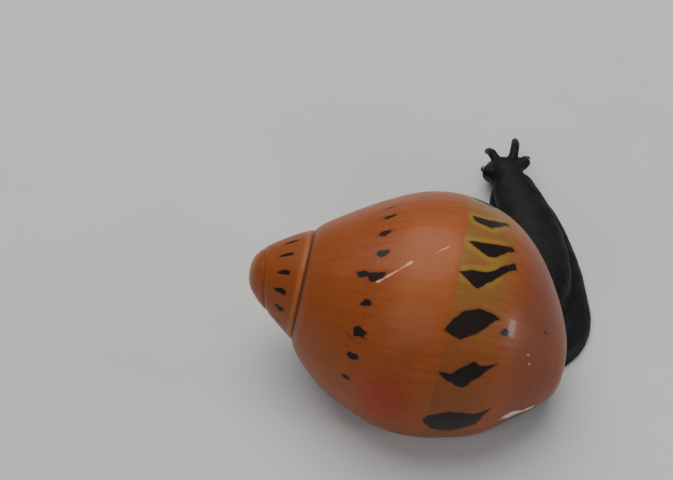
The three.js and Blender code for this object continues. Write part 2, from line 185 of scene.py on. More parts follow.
# The camera stands so that this place in the shell is seen at this pixel.
AIM_PLACE = np.array([0.0, 7.0, 6.45])
AIM_PIXEL = (429.8, 307.5)
CAMERA_TILT = math.radians(CAMERA_ELEVATION)
LOOKING = np.array([0.0, math.cos(CAMERA_TILT), -math.sin(CAMERA_TILT)])
PICTURE_UP = np.array([0.0, math.sin(CAMERA_TILT), math.cos(CAMERA_TILT)])
PICTURE_RIGHT = np.array([1.0, 0.0, 0.0])
# Steps along a sight line, from just before the shell to just behind it.
SIGHT_STEPS = np.linspace(105, 145, 8001)
PROFILE_STEPS = 400


def sight_line(pixel):
    """Way from the camera to what a pixel shows, for each millimetre forwards."""
    focal_pixels = LENS / SENSOR_WIDTH * PHOTO_WIDTH
    right = (pixel[0] - PHOTO_MIDDLE[0]) / focal_pixels
    up = (PHOTO_MIDDLE[1] - pixel[1]) / focal_pixels
    return LOOKING + right * PICTURE_RIGHT + up * PICTURE_UP


CAMERA_PLACE = AIM_PLACE - CAMERA_DISTANCE * sight_line(AIM_PIXEL)


def whorl_profile():
    """Distances from the apex in rising order, and the radius and shift of the whorl there."""
    rings = curve_points(WHORL_RINGS, np.linspace(0, 1, PROFILE_STEPS))
    return rings[np.argsort(rings[:, 0])].T


def shell_place(pixel):
    """Distance along the axis and angle in degrees of the place that a pixel on the whorl shows."""
    offset = CAMERA_PLACE + SIGHT_STEPS[:, None] * sight_line(pixel) - APEX
    along = -(offset @ TOWARDS_APEX)
    distances, radii, shifts = whorl_profile()
    radius = np.interp(along, distances, radii, left=0.0, right=0.0)
    back = offset @ BACK_FACING
    growing = offset @ GROWING - np.interp(along, distances, shifts)
    meets = int(np.argmax(np.hypot(back, growing) < radius))
    return float(along[meets]), math.degrees(math.atan2(growing[meets], back[meets]))


# Marks are drawn on the shell as if it were unrolled at this radius.
MARK_RADIUS = 8.85
# Corners of the large blotches of the lower row, as pixels of the photograph. They are read
# one by one, and a few are then moved by up to two pixels to keep the drawn shape.
BLOTCH_PIXELS = [
    [(473, 216), (490, 220.5), (508, 224), (510, 227), (492, 229), (476, 221.5)],
    [(465, 240), (485, 243), (512, 248), (517, 252), (495, 258), (488, 257), (478, 249)],
    [(458, 271), (488, 271.5), (497, 269), (515, 263), (517, 270), (500, 277), (477, 289.5)],
    [(443, 330), (452, 320), (462, 311), (478, 309), (492, 313), (500, 319), (475, 335), (460, 340)],
    [(434, 370), (450, 374), (462, 367), (474, 361), (480, 366), (500, 363), (463, 388), (455, 386)],
    [(422, 420), (430, 415), (450, 412), (475, 413), (491, 408), (475, 424), (450, 431), (430, 428)],
]
BLOTCHES = [[shell_place(corner) for corner in corners] for corners in BLOTCH_PIXELS]
# The same row goes on round the far side, out of the photograph's view. Its blotches repeat
# the uppermost one in view, stretched round the shell from an angle near its middle.
FAR_BLOTCH_FIRST = -68.0
FAR_BLOTCH_STEP = 19.0
FAR_BLOTCH_COUNT = 3
FAR_BLOTCH_STRETCH = 1.5
REPEATED_BLOTCH_ANGLE = -59.0
DASH_SWELL = 1.3
DASH_UNEVENNESS = 0.12
DASH_FINE_UNEVENNESS = 0.07
# Small marks in view: pixel, found in the same way, half length, half width, tilt in degrees.
DASHES_IN_VIEW = [
    ((393, 207), 0.38, 0.11, 20),
    ((390, 217), 0.34, 0.14, 24),
    ((386, 233), 0.36, 0.21, 28),
    ((383, 253), 0.40, 0.26, 22),
    ((364.5, 274), 0.46, 0.24, 0),
    ((375, 275.5), 0.50, 0.30, 8),
    ((366, 303), 0.30, 0.19, 35),
    ((359, 332), 0.36, 0.30, 10),
    ((363, 337), 0.20, 0.07, -35),
    ((348, 334), 0.28, 0.09, -40),
    ((352, 356), 0.32, 0.27, 0),
    ((346, 377), 0.27, 0.22, 0),
    ((505, 333), 0.24, 0.2, 10),
    ((546, 333), 0.16, 0.14, 0),
]
# Small marks on the far side: distance along the axis and angle in place of the pixel.
FAR_DASHES = [
    (9.2, -80.0, 0.36, 0.16, 20),
    (9.3, -97.0, 0.34, 0.2, 15),
]
DASHES = [(*shell_place(pixel), *sizes) for pixel, *sizes in DASHES_IN_VIEW] + FAR_DASHES
# Small marks on the spire, in the same form as those on the far side.
SPIRE_DASHES = [
    (3.2, -78.0, 0.44, 0.2, 28),
    (3.2, -57.0, 0.46, 0.26, 34),
    (3.1, -34.0, 0.48, 0.3, 42),
    (3.1, -9.0, 0.48, 0.33, 52),
    (3.15, 15.0, 0.46, 0.32, 62),
    (3.3, 38.0, 0.46, 0.3, 74),
    (3.3, 62.0, 0.42, 0.28, 30),
    (3.2, 88.0, 0.4, 0.26, 25),
    (3.2, -101.0, 0.4, 0.24, 25),
    (3.2, -124.0, 0.4, 0.24, 25),
    (3.2, 114.0, 0.4, 0.24, 25),
]
# Pale scratches: the pixels of both ends, with half the width.
SCRATCH_PIXELS = [
    ((378, 282), (412, 262), 0.075),
    ((432, 255), (458, 243), 0.045),
]
SCRATCHES = [(shell_place(start), shell_place(end), half) for start, end, half in SCRATCH_PIXELS]
# A white stretch near the base of the outer lip, from one place to another on the shell.
WHITE_LIP_START = (21.3, 59.0)
WHITE_LIP_END = (22.8, 65.0)
WHITE_LIP_HALF_WIDTH = 0.62
# Two tiny pale spots.
WHITE_SPOT_PIXELS = [(528, 355), (529, 364)]
WHITE_SPOTS = [shell_place(pixel) for pixel in WHITE_SPOT_PIXELS]
# Marks count as this far off where none is nearer.
NO_MARK = 3.0


def flat_place(along, angle):
    """Distance along the axis and round it, in millimetres, on the unrolled shell."""
    return np.stack([along, np.radians(angle) * MARK_RADIUS], -1)


def polygon_distance(places, corners):
    """Signed distance to a polygon, negative inside."""
    corners = np.asarray(corners)
    nearest = np.full(len(places), np.inf)
    inside = np.zeros(len(places), bool)
    for k in range(len(corners)):
        a = corners[k]
        b = corners[(k + 1) % len(corners)]
        edge = b - a
        offset = places - a
        share = np.clip((offset @ edge) / (edge @ edge), 0, 1)
        gap = np.linalg.norm(offset - share[:, None] * edge, axis=1)
        nearest = np.minimum(nearest, gap)
        crosses = (a[1] > places[:, 1]) != (b[1] > places[:, 1])
        rise = edge[1] if abs(edge[1]) > 1e-9 else 1e-9
        at = a[0] + (places[:, 1] - a[1]) * edge[0] / rise
        inside ^= crosses & (places[:, 0] < at)
    return np.where(inside, -nearest, nearest)


def dash_distance(places, dash):
    """Rough signed distance to a small mark, negative inside."""
    along, angle, half_length, half_width, tilt = dash
    half_length *= DASH_SWELL
    half_width *= DASH_SWELL
    centre = flat_place(np.array(along), np.array(angle))
    turn = math.radians(tilt)
    # A positive tilt raises the right-hand end.
    first = np.array([math.cos(turn), -math.sin(turn)])
    second = np.array([math.sin(turn), math.cos(turn)])
    offset = places - centre
    lengthwise = (offset @ first) / half_length
    crosswise = (offset @ second) / half_width
    # Each dash has its own uneven outline, which its place on the shell decides.
    bearing = np.arctan2(crosswise, lengthwise)
    uneven = 1 + DASH_UNEVENNESS * np.sin(3 * bearing + angle)
    uneven += DASH_FINE_UNEVENNESS * np.sin(5 * bearing + 2 * angle)
    reach = np.hypot(lengthwise, crosswise) / uneven
    return (reach - 1) * min(half_length, half_width)


def far_blotch(number):
    """Corners of one blotch of the far side, numbered from 1."""
    middle = FAR_BLOTCH_FIRST - FAR_BLOTCH_STEP * number
    return [
        (along, middle + (angle - REPEATED_BLOTCH_ANGLE) * FAR_BLOTCH_STRETCH)
        for along, angle in BLOTCHES[0]
    ]


def shell_attributes(along, degrees_round, edge_distance, spire):
    """Facts for the material at each point, with the distance to the nearest dark mark."""
    places = flat_place(along, degrees_round)
    mark = np.full(len(along), NO_MARK)
    blotches = BLOTCHES + [far_blotch(number) for number in range(1, FAR_BLOTCH_COUNT + 1)]
    for corners in [] if spire else blotches:
        outline = flat_place(*np.array(corners).T)
        mark = np.minimum(mark, polygon_distance(places, outline))
    for dash in SPIRE_DASHES if spire else DASHES:
        mark = np.minimum(mark, dash_distance(places, dash))
    return {
        "along": along,
        "turn": degrees_round,
        "mark": mark,
        "rim": edge_distance,
    }


WHORL_STATIONS = 210
WHORL_COLUMNS = 440
LIP_COLUMNS = 16
LIP_DEPTH = 5.0
LIP_THICKNESS = 0.28
WALL_THICKNESS = 0.85


def cut_half_angle(points_on_axis, radius):
    """Half the angle of each ring that the flat underside cuts away."""
    level = (ON_UNDERSIDE - points_on_axis) @ UNDERSIDE_NORMAL
    cos_part = BACK_FACING @ UNDERSIDE_NORMAL
    sin_part = GROWING @ UNDERSIDE_NORMAL
    pull = math.hypot(cos_part, sin_part)
    share = level / np.maximum(radius * pull, 1e-6)
    return np.arccos(np.clip(share, -1, 1)), math.atan2(sin_part, cos_part)


def build_whorl():
    shares = np.linspace(0, 1, WHORL_STATIONS)
    rings = curve_points(WHORL_RINGS, shares)
    along = rings[:, 0]
    radius = np.maximum(rings[:, 1], 0.02)
    shift = rings[:, 2]
    axis_points = APEX - along[:, None] * TOWARDS_APEX + shift[:, None] * GROWING
    half, facing = cut_half_angle(axis_points, radius)
    rows = []
    info = []
    across = np.linspace(0, 1, WHORL_COLUMNS)
    for j in range(WHORL_STATIONS):
        start = facing + half[j]
        sweep = 2 * math.pi - 2 * half[j]
        angle = start + across * sweep
        place = shell_points(
            np.full(WHORL_COLUMNS, along[j]),
            np.full(WHORL_COLUMNS, radius[j]),
            np.full(WHORL_COLUMNS, shift[j]),
            angle,
        )
        to_lip = (1 - across) * sweep * radius[j]
        if half[j] < 0.02:
            to_lip = to_lip + 3.0
        rows.append(place)
        info.append(
            np.stack(
                [np.full(WHORL_COLUMNS, along[j]), np.degrees(angle) - 360.0, to_lip], -1
            )
        )
    points = np.concatenate(rows)
    facts = np.concatenate(info)
    faces = grid_faces(WHORL_STATIONS, WHORL_COLUMNS)
    # Inner face of the outer lip, from the rim up into the mouth.
    inner_rows = [j for j in range(WHORL_STATIONS) if half[j] > 0.12]
    inner_points = []
    inner_facts = []
    outer_count = len(points)
    for j in inner_rows:
        lip_angle = facing + 2 * math.pi - half[j]
        for k in range(1, LIP_COLUMNS + 1):
            depth = LIP_DEPTH * (k / LIP_COLUMNS) ** 1.3
            wall = LIP_THICKNESS + (WALL_THICKNESS - LIP_THICKNESS) * smooth(depth, 0, 3.0)
            if k == 1:
                wall = LIP_THICKNESS
                depth = 0.06
            inner_radius = max(radius[j] - wall, 0.1)
            angle = lip_angle - depth / radius[j]
            spot = axis_points[j] + inner_radius * around(angle)
            inner_points.append(spot)
            inner_facts.append((along[j], math.degrees(angle) - 360.0, -depth))
    inner_points = np.array(inner_points)
    points = np.concatenate([points, inner_points])
    facts = np.concatenate([facts, np.array(inner_facts)])
    for n in range(len(inner_rows) - 1):
        j = inner_rows[n]
        rim_here = j * WHORL_COLUMNS + WHORL_COLUMNS - 1
        rim_there = rim_here + WHORL_COLUMNS
        here = outer_count + n * LIP_COLUMNS
        there = here + LIP_COLUMNS
        faces.append((rim_here, here, there, rim_there))
        for k in range(LIP_COLUMNS - 1):
            faces.append((here + k, here + k + 1, there + k + 1, there + k))
    return points, facts, faces


RELIEF = 0.3
RIPPLE_HEIGHT = 0.022
SPIRAL_HEIGHT = 0.018


def add_relief(points, facts, strength):
    """Faint growth ripples and spiral unevenness, moved along the ring's own radius."""
    along = facts[:, 0]
    turn = facts[:, 1]
    ripple = np.sin(turn * 0.55 + 0.6 * np.sin(along * 0.7)) * 0.5
    ripple += np.sin(turn * 1.37 + along * 0.25 + 1.7) * 0.3
    ripple += np.sin(turn * 2.9 + along * 0.4) * 0.15
    spiral = np.sin(along * 2.1 + 0.4) * 0.35 + np.sin(along * 5.3) * 0.15
    axis_points = APEX - along[:, None] * TOWARDS_APEX
    outward = points - axis_points
    outward = outward / np.maximum(np.linalg.norm(outward, axis=1)[:, None], 1e-6)
    fade = smooth(along, 4.7, 7.0) * (1 - smooth(along, 22.5, 24.5))
    height = (ripple * RIPPLE_HEIGHT + spiral * SPIRAL_HEIGHT) * strength * fade
    return points + outward * height[:, None]


whorl_points, whorl_facts, whorl_faces = build_whorl()
whorl_points = add_relief(whorl_points, whorl_facts, RELIEF)
# The shell's lowest edge stays on the floor.
whorl_points[:, 2] = np.maximum(whorl_points[:, 2], 0.0)
whorl = make_object(
    "shell_whorl_visual",
    whorl_points,
    whorl_faces,
    shell_attributes(whorl_facts[:, 0], whorl_facts[:, 1], whorl_facts[:, 2], False),
)
weld = whorl.modifiers.new("weld", "WELD")
weld.merge_threshold = 0.000004

SPIRE_STATIONS = 110
SPIRE_COLUMNS = 220
# The earlier suture is a fine spiral groove that winds out from the apex.
SUTURE_GROWTH = math.log(4.0)
SUTURE_END = 4.5
GROOVE_DEPTH = 0.12
GROOVE_WIDTH = 0.16


def build_spire():
    shares = np.linspace(0, 1, SPIRE_STATIONS)
    rings = curve_points(SPIRE_RINGS, shares)
    angle = np.linspace(-math.pi, math.pi, SPIRE_COLUMNS, endpoint=False)
    rows = []
    facts = []
    for along, radius, shift in rings:
        turns_left = (angle + math.radians(105)) / (2 * math.pi)
        turns_left = np.where(turns_left < 0, turns_left + 1, turns_left)
        groove = np.zeros_like(angle)
        for whole in range(1, 4):
            line = SUTURE_END * np.exp(-SUTURE_GROWTH * (whole - turns_left))
            line = np.minimum(line, SUTURE_END)
            width = GROOVE_WIDTH * (0.4 + line / SUTURE_END)
            depth = GROOVE_DEPTH * (0.3 + line / SUTURE_END)
            offset = along - line
            groove = groove + depth * np.exp(-((offset / width) ** 2))
        ring_radius = np.maximum(radius - groove, 0.02)
        rows.append(
            shell_points(
                np.full(SPIRE_COLUMNS, along), ring_radius, np.full(SPIRE_COLUMNS, shift), angle
            )
        )
        facts.append(np.stack([np.full(SPIRE_COLUMNS, along), np.degrees(angle), groove], -1))
    points = np.concatenate(rows)
    faces = grid_faces(SPIRE_STATIONS, SPIRE_COLUMNS, wrap=True)
    faces.append(tuple(range(SPIRE_COLUMNS))[::-1])
    return points, np.concatenate(facts), faces


spire_points, spire_facts, spire_faces = build_spire()
spire = make_object(
    "shell_spire_visual",
    spire_points,
    spire_faces,
    shell_attributes(spire_facts[:, 0], spire_facts[:, 1], spire_facts[:, 2], True),
)

# Columellar deck: a smooth callus from the far edge of the underside to a finely toothed edge.
DECK_STATIONS = 150
DECK_COLUMNS = 40
DECK_SWELL = 0.32
DECK_TEETH = 9
DECK_TOOTH_FIRST = 9.7
DECK_TOOTH_SPACING = 1.1
DECK_TOOTH_WIDTH = 0.32
DECK_TOOTH_REACH = 0.3


def build_deck():
    shares = np.linspace(0, 1, 500)
    rings = curve_points(WHORL_RINGS, shares)
    along = rings[:, 0]
    radius = np.maximum(rings[:, 1], 0.02)
    shift = rings[:, 2]
    axis_points = APEX - along[:, None] * TOWARDS_APEX + shift[:, None] * GROWING
    half, facing = cut_half_angle(axis_points, radius)
    kept = np.where(half > 0.1)[0]
    chosen = kept[np.linspace(0, len(kept) - 1, DECK_STATIONS).astype(int)]
    rows = []
    for j in chosen:
        far = axis_points[j] + (radius[j] - 0.14) * around(facing + half[j])
        far_near = (far - SHELL_MIDDLE) @ NEARWARDS
        tooth = 0.0
        for k in range(DECK_TEETH):
            offset = (along[j] - DECK_TOOTH_FIRST - DECK_TOOTH_SPACING * k) / DECK_TOOTH_WIDTH
            tooth += DECK_TOOTH_REACH * math.exp(-(offset**2))
        edge_near = max(COLUMELLA_EDGE + tooth, far_near)
        row = []
        for t in np.linspace(0, 1, DECK_COLUMNS):
            near = far_near + (edge_near - far_near) * t
            spot = far + NEARWARDS * (near - far_near)
            bulge = math.sin(math.pi * min(t, 0.98)) ** 0.7
            swell = DECK_SWELL * bulge * smooth(edge_near - far_near, 0.2, 4)
            roll = -0.9 * smooth(t, 0.86, 1.0)
            spot = spot + UNDERSIDE_NORMAL * (swell + roll - 0.03)
            row.append(spot)
        rows.append(np.array(row))
    return np.concatenate(rows), grid_faces(DECK_STATIONS, DECK_COLUMNS, flip=True)


deck_points, deck_faces = build_deck()
deck = make_object("shell_deck_visual", deck_points, deck_faces)

# Foot, column, neck and head, as in the solids, joined into one skin.
FOOT_LINE = [
    (-6.4, 10.9, 0.9),
    (-4.6, 10.4, 2.5),
    (-0.6, 9.6, 3.7),
    (4.4, 8.9, 4.0),
    (8.5, 9.9, 4.4),
    (9.4, 13.5, 3.7),
    (9.2, 17.5, 3.25),
    (8.6, 21.0, 2.8),
    (7.8, 23.7, 2.1),
    (7.3, 25.0, 1.3),
]
FOOT_HEIGHTS = [0.7, 1.1, 1.5, 1.7, 1.9, 1.8, 1.6, 1.4, 1.1, 0.7]
FOOT_ROUNDNESS = 2.5
FOOT_STATIONS = 90
FOOT_ARC_POINTS = 28
SOLE_SHARES = (-0.6, -0.2, 0.2, 0.6)
NECK_LINE = [
    (5.4, 7.6, 2.5),
    (7.6, 10.4, 2.2),
    (8.9, 13.4, 2.1),
    (9.0, 16.6, 2.2),
    (8.4, 20.0, 2.4),
    (7.5, 23.2, 2.4),
]
NECK_HALF_WIDTHS = [2.4, 2.9, 2.8, 2.5, 2.15, 1.7]
NECK_HALF_HEIGHTS = [1.1, 1.4, 1.7, 1.6, 1.4, 1.25]
HEADING = math.radians(26)
HEAD_CENTRE = (7.2, 24.1, 2.4)
HEAD_RADII = (1.45, 1.85, 1.35)
SNOUT_CENTRE = (6.6, 25.6, 1.3)
SNOUT_RADII = (1.4, 0.95, 1.05)
LEFT_FEELER = [(6.7, 24.6, 2.9), (6.15, 25.9, 3.0), (5.95, 27.0, 2.2), (5.9, 28.0, 1.1)]
RIGHT_FEELER = [(7.6, 24.9, 2.9), (8.0, 26.4, 3.2), (8.2, 28.0, 2.3), (8.4, 29.3, 1.0)]
LEFT_STALK = [(6.7, 24.0, 2.6), (5.8, 24.15, 2.75), (5.25, 24.3, 2.8)]
RIGHT_STALK = [(7.7, 24.4, 2.6), (8.6, 25.1, 2.75), (9.0, 25.5, 2.8)]
FEELER_ROOT_RADIUS = 0.45
FEELER_TIP_RADIUS = 0.26
STALK_ROOT_RADIUS = 0.58
STALK_TIP_RADIUS = 0.45
SKIN_VOXEL = 0.13


def loft(rings):
    """Closed mesh through rings of equal length."""
    rings = [np.asarray(r) for r in rings]
    sides = len(rings[0])
    points = np.concatenate(rings + [rings[0].mean(0)[None], rings[-1].mean(0)[None]])
    faces = grid_faces(len(rings), sides, wrap=True)
    start = len(rings) * sides
    last = (len(rings) - 1) * sides
    for i in range(sides):
        after = (i + 1) % sides
        faces.append((start, after, i))
        faces.append((start + 1, last + i, last + after))
    return points, faces


def ellipse(centre, first, second, wide, high, sides):
    angle = np.linspace(0, 2 * math.pi, sides, endpoint=False)
    return (
        np.asarray(centre)
        + np.cos(angle)[:, None] * np.asarray(first) * wide
        + np.sin(angle)[:, None] * np.asarray(second) * high
    )


def foot_outline():
    """Half-round outline of the foot: shares of its half width and height, then the flat sole."""
    outline = []
    for angle in np.linspace(0, math.pi, FOOT_ARC_POINTS):
        c = math.cos(angle)
        across = math.copysign(abs(c) ** (2 / FOOT_ROUNDNESS), c)
        outline.append((across, abs(math.sin(angle)) ** (2 / FOOT_ROUNDNESS)))
    return outline + [(share, 0.0) for share in SOLE_SHARES]


def foot_mesh():
    stations = FOOT_STATIONS
    shares = np.linspace(0, 1, stations)
    line = curve_points(FOOT_LINE, shares)
    outline = foot_outline()
    rings = []
    for j in range(stations):
        before = line[max(j - 1, 0)]
        after = line[min(j + 1, stations - 1)]
        way = (after - before)[:2]
        way = way / np.linalg.norm(way)
        side = np.array([way[1], -way[0], 0.0])
        rise = np.interp(shares[j] * (len(FOOT_HEIGHTS) - 1), range(len(FOOT_HEIGHTS)), FOOT_HEIGHTS)
        x, y, half_width = line[j]
        middle = np.array([x, y, 0.0])
        ring = [middle + side * across * half_width + (0, 0, up * rise) for across, up in outline]
        rings.append(np.array(ring))
    return loft(rings)


def column_centre(depth, near, along):
    return SHELL_MIDDLE + UNDERSIDE * depth + NEARWARDS * near - TOWARDS_APEX * along


def column_mesh():
    basewards = -TOWARDS_APEX
    sides = 60
    rings = [
        ellipse(column_centre(-1.0, 3.9, 0.9), basewards, NEARWARDS, 6.2, 3.2, sides),
        ellipse(column_centre(1.4, 3.9, 0.9), basewards, NEARWARDS, 6.4, 3.4, sides),
        ellipse(column_centre(2.7, 3.7, 1.2), basewards, NEARWARDS, 6.4, 3.5, sides),
        ellipse(column_centre(3.7, 3.1, 2.2), basewards, NEARWARDS, 5.9, 2.9, sides),
        ellipse((4.6, 9.2, 0.4), (1, 0, 0), (0, -1, 0), 5.6, 2.9, sides),
    ]
    return loft(rings)


def neck_mesh():
    stations = 40
    shares = np.linspace(0, 1, stations)
    line = curve_points(NECK_LINE, shares)
    last = len(NECK_LINE) - 1
    rings = []
    for j in range(stations):
        before = line[max(j - 1, 0)]
        after = line[min(j + 1, stations - 1)]
        way = (after - before)[:2]
        way = way / np.linalg.norm(way)
        side = (way[1], -way[0], 0.0)
        wide = np.interp(shares[j] * last, range(last + 1), NECK_HALF_WIDTHS)
        high = np.interp(shares[j] * last, range(last + 1), NECK_HALF_HEIGHTS)
        rings.append(ellipse(line[j], side, (0, 0, 1), wide, high, 36))
    return loft(rings)


def rod_mesh(controls, root, tip, sides=16, stations=24):
    shares = np.linspace(0, 1, stations)
    line = curve_points(controls, shares)
    rings = []
    for j in range(stations):
        before = line[max(j - 1, 0)]
        after = line[min(j + 1, stations - 1)]
        way = (after - before) / np.linalg.norm(after - before)
        side = np.cross(way, (0, 0, 1))
        side = side / np.linalg.norm(side)
        up = np.cross(side, way)
        radius = root + (tip - root) * shares[j]
        if j == stations - 1:
            radius *= 0.55
        rings.append(ellipse(line[j], side, up, radius, radius, sides))
    return loft(rings)


def ball_mesh(centre, radii, turn, rows=20, sides=32):
    points = []
    for v in range(1, rows):
        level = math.pi * v / rows
        for i in range(sides):
            angle = 2 * math.pi * i / sides
            x = math.sin(level) * math.cos(angle) * radii[0]
            y = math.sin(level) * math.sin(angle) * radii[1]
            points.append(
                (
                    x * math.cos(turn) - y * math.sin(turn),
                    x * math.sin(turn) + y * math.cos(turn),
                    math.cos(level) * radii[2],
                )
            )
    points = np.array(points) + np.asarray(centre)
    rings = [points[k * sides : (k + 1) * sides] for k in range(rows - 1)]
    return loft(rings)


def join_meshes(pieces):
    points = []
    faces = []
    count = 0
    for piece_points, piece_faces in pieces:
        points.append(np.asarray(piece_points))
        faces.extend([tuple(i + count for i in face) for face in piece_faces])
        count += len(piece_points)
    return np.concatenate(points), faces


def apply_modifiers(obj):
    graph = bpy.context.evaluated_depsgraph_get()
    mesh = bpy.data.meshes.new_from_object(obj.evaluated_get(graph))
    obj.modifiers.clear()
    obj.data = mesh


MUZZLE_CENTRE = (6.9, 24.95, 1.85)
MUZZLE_RADII = (1.42, 1.35, 1.25)
BODY_RELAX_ROUNDS = 16
SKIN_RELAX_ROUNDS = 4


def fuse(obj, voxel, rounds):
    """Turns overlapping closed pieces into one even surface and relaxes it."""
    remesh = obj.modifiers.new("remesh", "REMESH")
    remesh.mode = "VOXEL"
    remesh.voxel_size = voxel * MM
    relax = obj.modifiers.new("relax", "SMOOTH")
    relax.factor = 0.5
    relax.iterations = rounds
    apply_modifiers(obj)


def mesh_faces(obj):
    return [tuple(polygon.vertices) for polygon in obj.data.polygons]


def mesh_points(obj):
    """Points of an object in uncentred millimetres."""
    flat = np.zeros(len(obj.data.vertices) * 3, np.float32)
    obj.data.vertices.foreach_get("co", flat)
    return flat.reshape(-1, 3).astype(float) / MM - CENTRING


def mesh_normals(obj):
    flat = np.zeros(len(obj.data.vertices) * 3, np.float32)
    obj.data.vertices.foreach_get("normal", flat)
    return flat.reshape(-1, 3).astype(float)


def set_points(obj, points):
    flat = ((points + CENTRING) * MM).astype(np.float32).ravel()
    obj.data.vertices.foreach_set("co", flat)
    obj.data.update()


body_points, body_faces = join_meshes(
    [
        foot_mesh(),
        column_mesh(),
        neck_mesh(),
        ball_mesh(HEAD_CENTRE, HEAD_RADII, HEADING),
        ball_mesh(MUZZLE_CENTRE, MUZZLE_RADII, HEADING),
        ball_mesh(SNOUT_CENTRE, SNOUT_RADII, HEADING),
    ]
)
trunk = make_object("trunk", body_points, body_faces)
fuse(trunk, SKIN_VOXEL, BODY_RELAX_ROUNDS)
skin_points, skin_faces = join_meshes(
    [
        (mesh_points(trunk), mesh_faces(trunk)),
        rod_mesh(LEFT_FEELER, FEELER_ROOT_RADIUS, FEELER_TIP_RADIUS),
        rod_mesh(RIGHT_FEELER, FEELER_ROOT_RADIUS, FEELER_TIP_RADIUS),
        rod_mesh(LEFT_STALK, STALK_ROOT_RADIUS, STALK_TIP_RADIUS),
        rod_mesh(RIGHT_STALK, STALK_ROOT_RADIUS, STALK_TIP_RADIUS),
    ]
)
bpy.data.objects.remove(trunk)
skin = make_object("skin_visual", skin_points, skin_faces)
fuse(skin, SKIN_VOXEL * 0.85, SKIN_RELAX_ROUNDS)

SKIN_CLEARANCE = 0.25
SOLE_LIFT = 0.1
SOLE_REACH = 0.22
FOLD_HEIGHT = 0.024
FINE_FOLD_HEIGHT = 0.012


def clear_of_shell(points):
    """Moves points out of the shell's wall and deck by the shortest of three ways."""
    distances, radii, shifts = whorl_profile()
    offset = points - APEX
    along = -(offset @ TOWARDS_APEX)
    ring_radius = np.interp(along, distances, radii, left=0.0, right=0.0)
    shift = np.interp(along, distances, shifts)
    radial = offset + along[:, None] * TOWARDS_APEX - shift[:, None] * GROWING
    distance = np.linalg.norm(radial, axis=1)
    outward = radial / np.maximum(distance, 1e-6)[:, None]
    depth = (points - ON_UNDERSIDE) @ UNDERSIDE_NORMAL
    near = (points - SHELL_MIDDLE) @ NEARWARDS
    inner = ring_radius - WALL_THICKNESS - SKIN_CLEARANCE
    outer = ring_radius + SKIN_CLEARANCE
    free = (depth > SKIN_CLEARANCE) | (distance > outer)
    free |= (near > COLUMELLA_EDGE + SKIN_CLEARANCE) & (distance < inner)
    down = SKIN_CLEARANCE - depth
    out = outer - distance
    back = np.where(near > COLUMELLA_EDGE, distance - inner, np.inf)
    best = np.argmin(np.stack([down, out, back]), axis=0)
    moves = np.stack(
        [
            UNDERSIDE_NORMAL * down[:, None],
            outward * out[:, None],
            -outward * np.where(np.isfinite(back), back, 0)[:, None],
        ]
    )
    chosen = moves[best, np.arange(len(points))]
    return points + np.where(free[:, None], 0.0, chosen)


def skin_relief(points):
    """Soft folds across the body, with finer ones among them."""
    x, y, z = points.T
    folds = np.sin(y * 3.1 + 0.8 * np.sin(x * 1.3)) * np.sin(z * 2.3 + x * 0.9 + 0.5)
    fine = np.sin(x * 6.3 + 1.1 * np.sin(y * 2.7)) * np.sin(y * 5.9 + z * 3.7)
    return FOLD_HEIGHT * folds + FINE_FOLD_HEIGHT * fine


placed = mesh_points(skin)
above_sole = smooth(placed[:, 2], 0.2, 0.7)
placed = placed + mesh_normals(skin) * (skin_relief(placed) * above_sole)[:, None]
placed = clear_of_shell(placed)
# The smoothing lifts the sole a little; it is laid back on the floor.
placed[:, 2] = np.where(placed[:, 2] < SOLE_REACH, np.maximum(placed[:, 2] - SOLE_LIFT, 0.0), placed[:, 2])
set_points(skin, placed)
skin.data.polygons.foreach_set("use_smooth", [True] * len(skin.data.polygons))

# Eyes sit in the outer tips of their stalks.
EYE_RADIUS = 0.27
EYE_OUT = -0.02
EYE_RISE = 0.12
eyes = []
for side, stalk in (("left", LEFT_STALK), ("right", RIGHT_STALK)):
    tip = np.array(stalk[-1])
    way = tip - np.array(stalk[-2])
    way = way / np.linalg.norm(way)
    points, faces = ball_mesh(tip + way * EYE_OUT + np.array([0, 0, EYE_RISE]), (EYE_RADIUS,) * 3, 0, 24, 32)
    eyes.append(make_object("eye_" + side + "_visual", points, faces))


# The lid, a half-moon of limy plate with coiled growth lines, lies on the back of the foot's rear.
LID_CENTRE = np.array([-1.3, 9.7])
LID_HALF_LENGTH = 3.55
LID_HALF_WIDTH = 2.25
LID_TURN = math.radians(-9)
LID_TOP = 0.92
LID_RINGS = 40
LID_SIDES = 120
# The coil of the lid starts off its middle, near the straighter edge.
LID_COIL_CENTRE = (1.7, -0.7)
LID_COIL_STEP = 0.55
LID_CROWN = 0.1
LID_GROOVE_DEPTH = 0.008


def foot_height(points):
    """Height of the foot's top under each point of the floor plan."""
    stations = 400
    shares = np.linspace(0, 1, stations)
    line = curve_points(FOOT_LINE, shares)
    rises = np.interp(shares * (len(FOOT_HEIGHTS) - 1), range(len(FOOT_HEIGHTS)), FOOT_HEIGHTS)
    gaps = np.linalg.norm(points[:, None, :] - line[None, :, :2], axis=2)
    nearest = gaps.argmin(axis=1)
    across = np.clip(gaps[np.arange(len(points)), nearest] / line[nearest, 2], 0, 0.98)
    rounded = (1 - across**FOOT_ROUNDNESS) ** (1 / FOOT_ROUNDNESS)
    return rises[nearest] * rounded


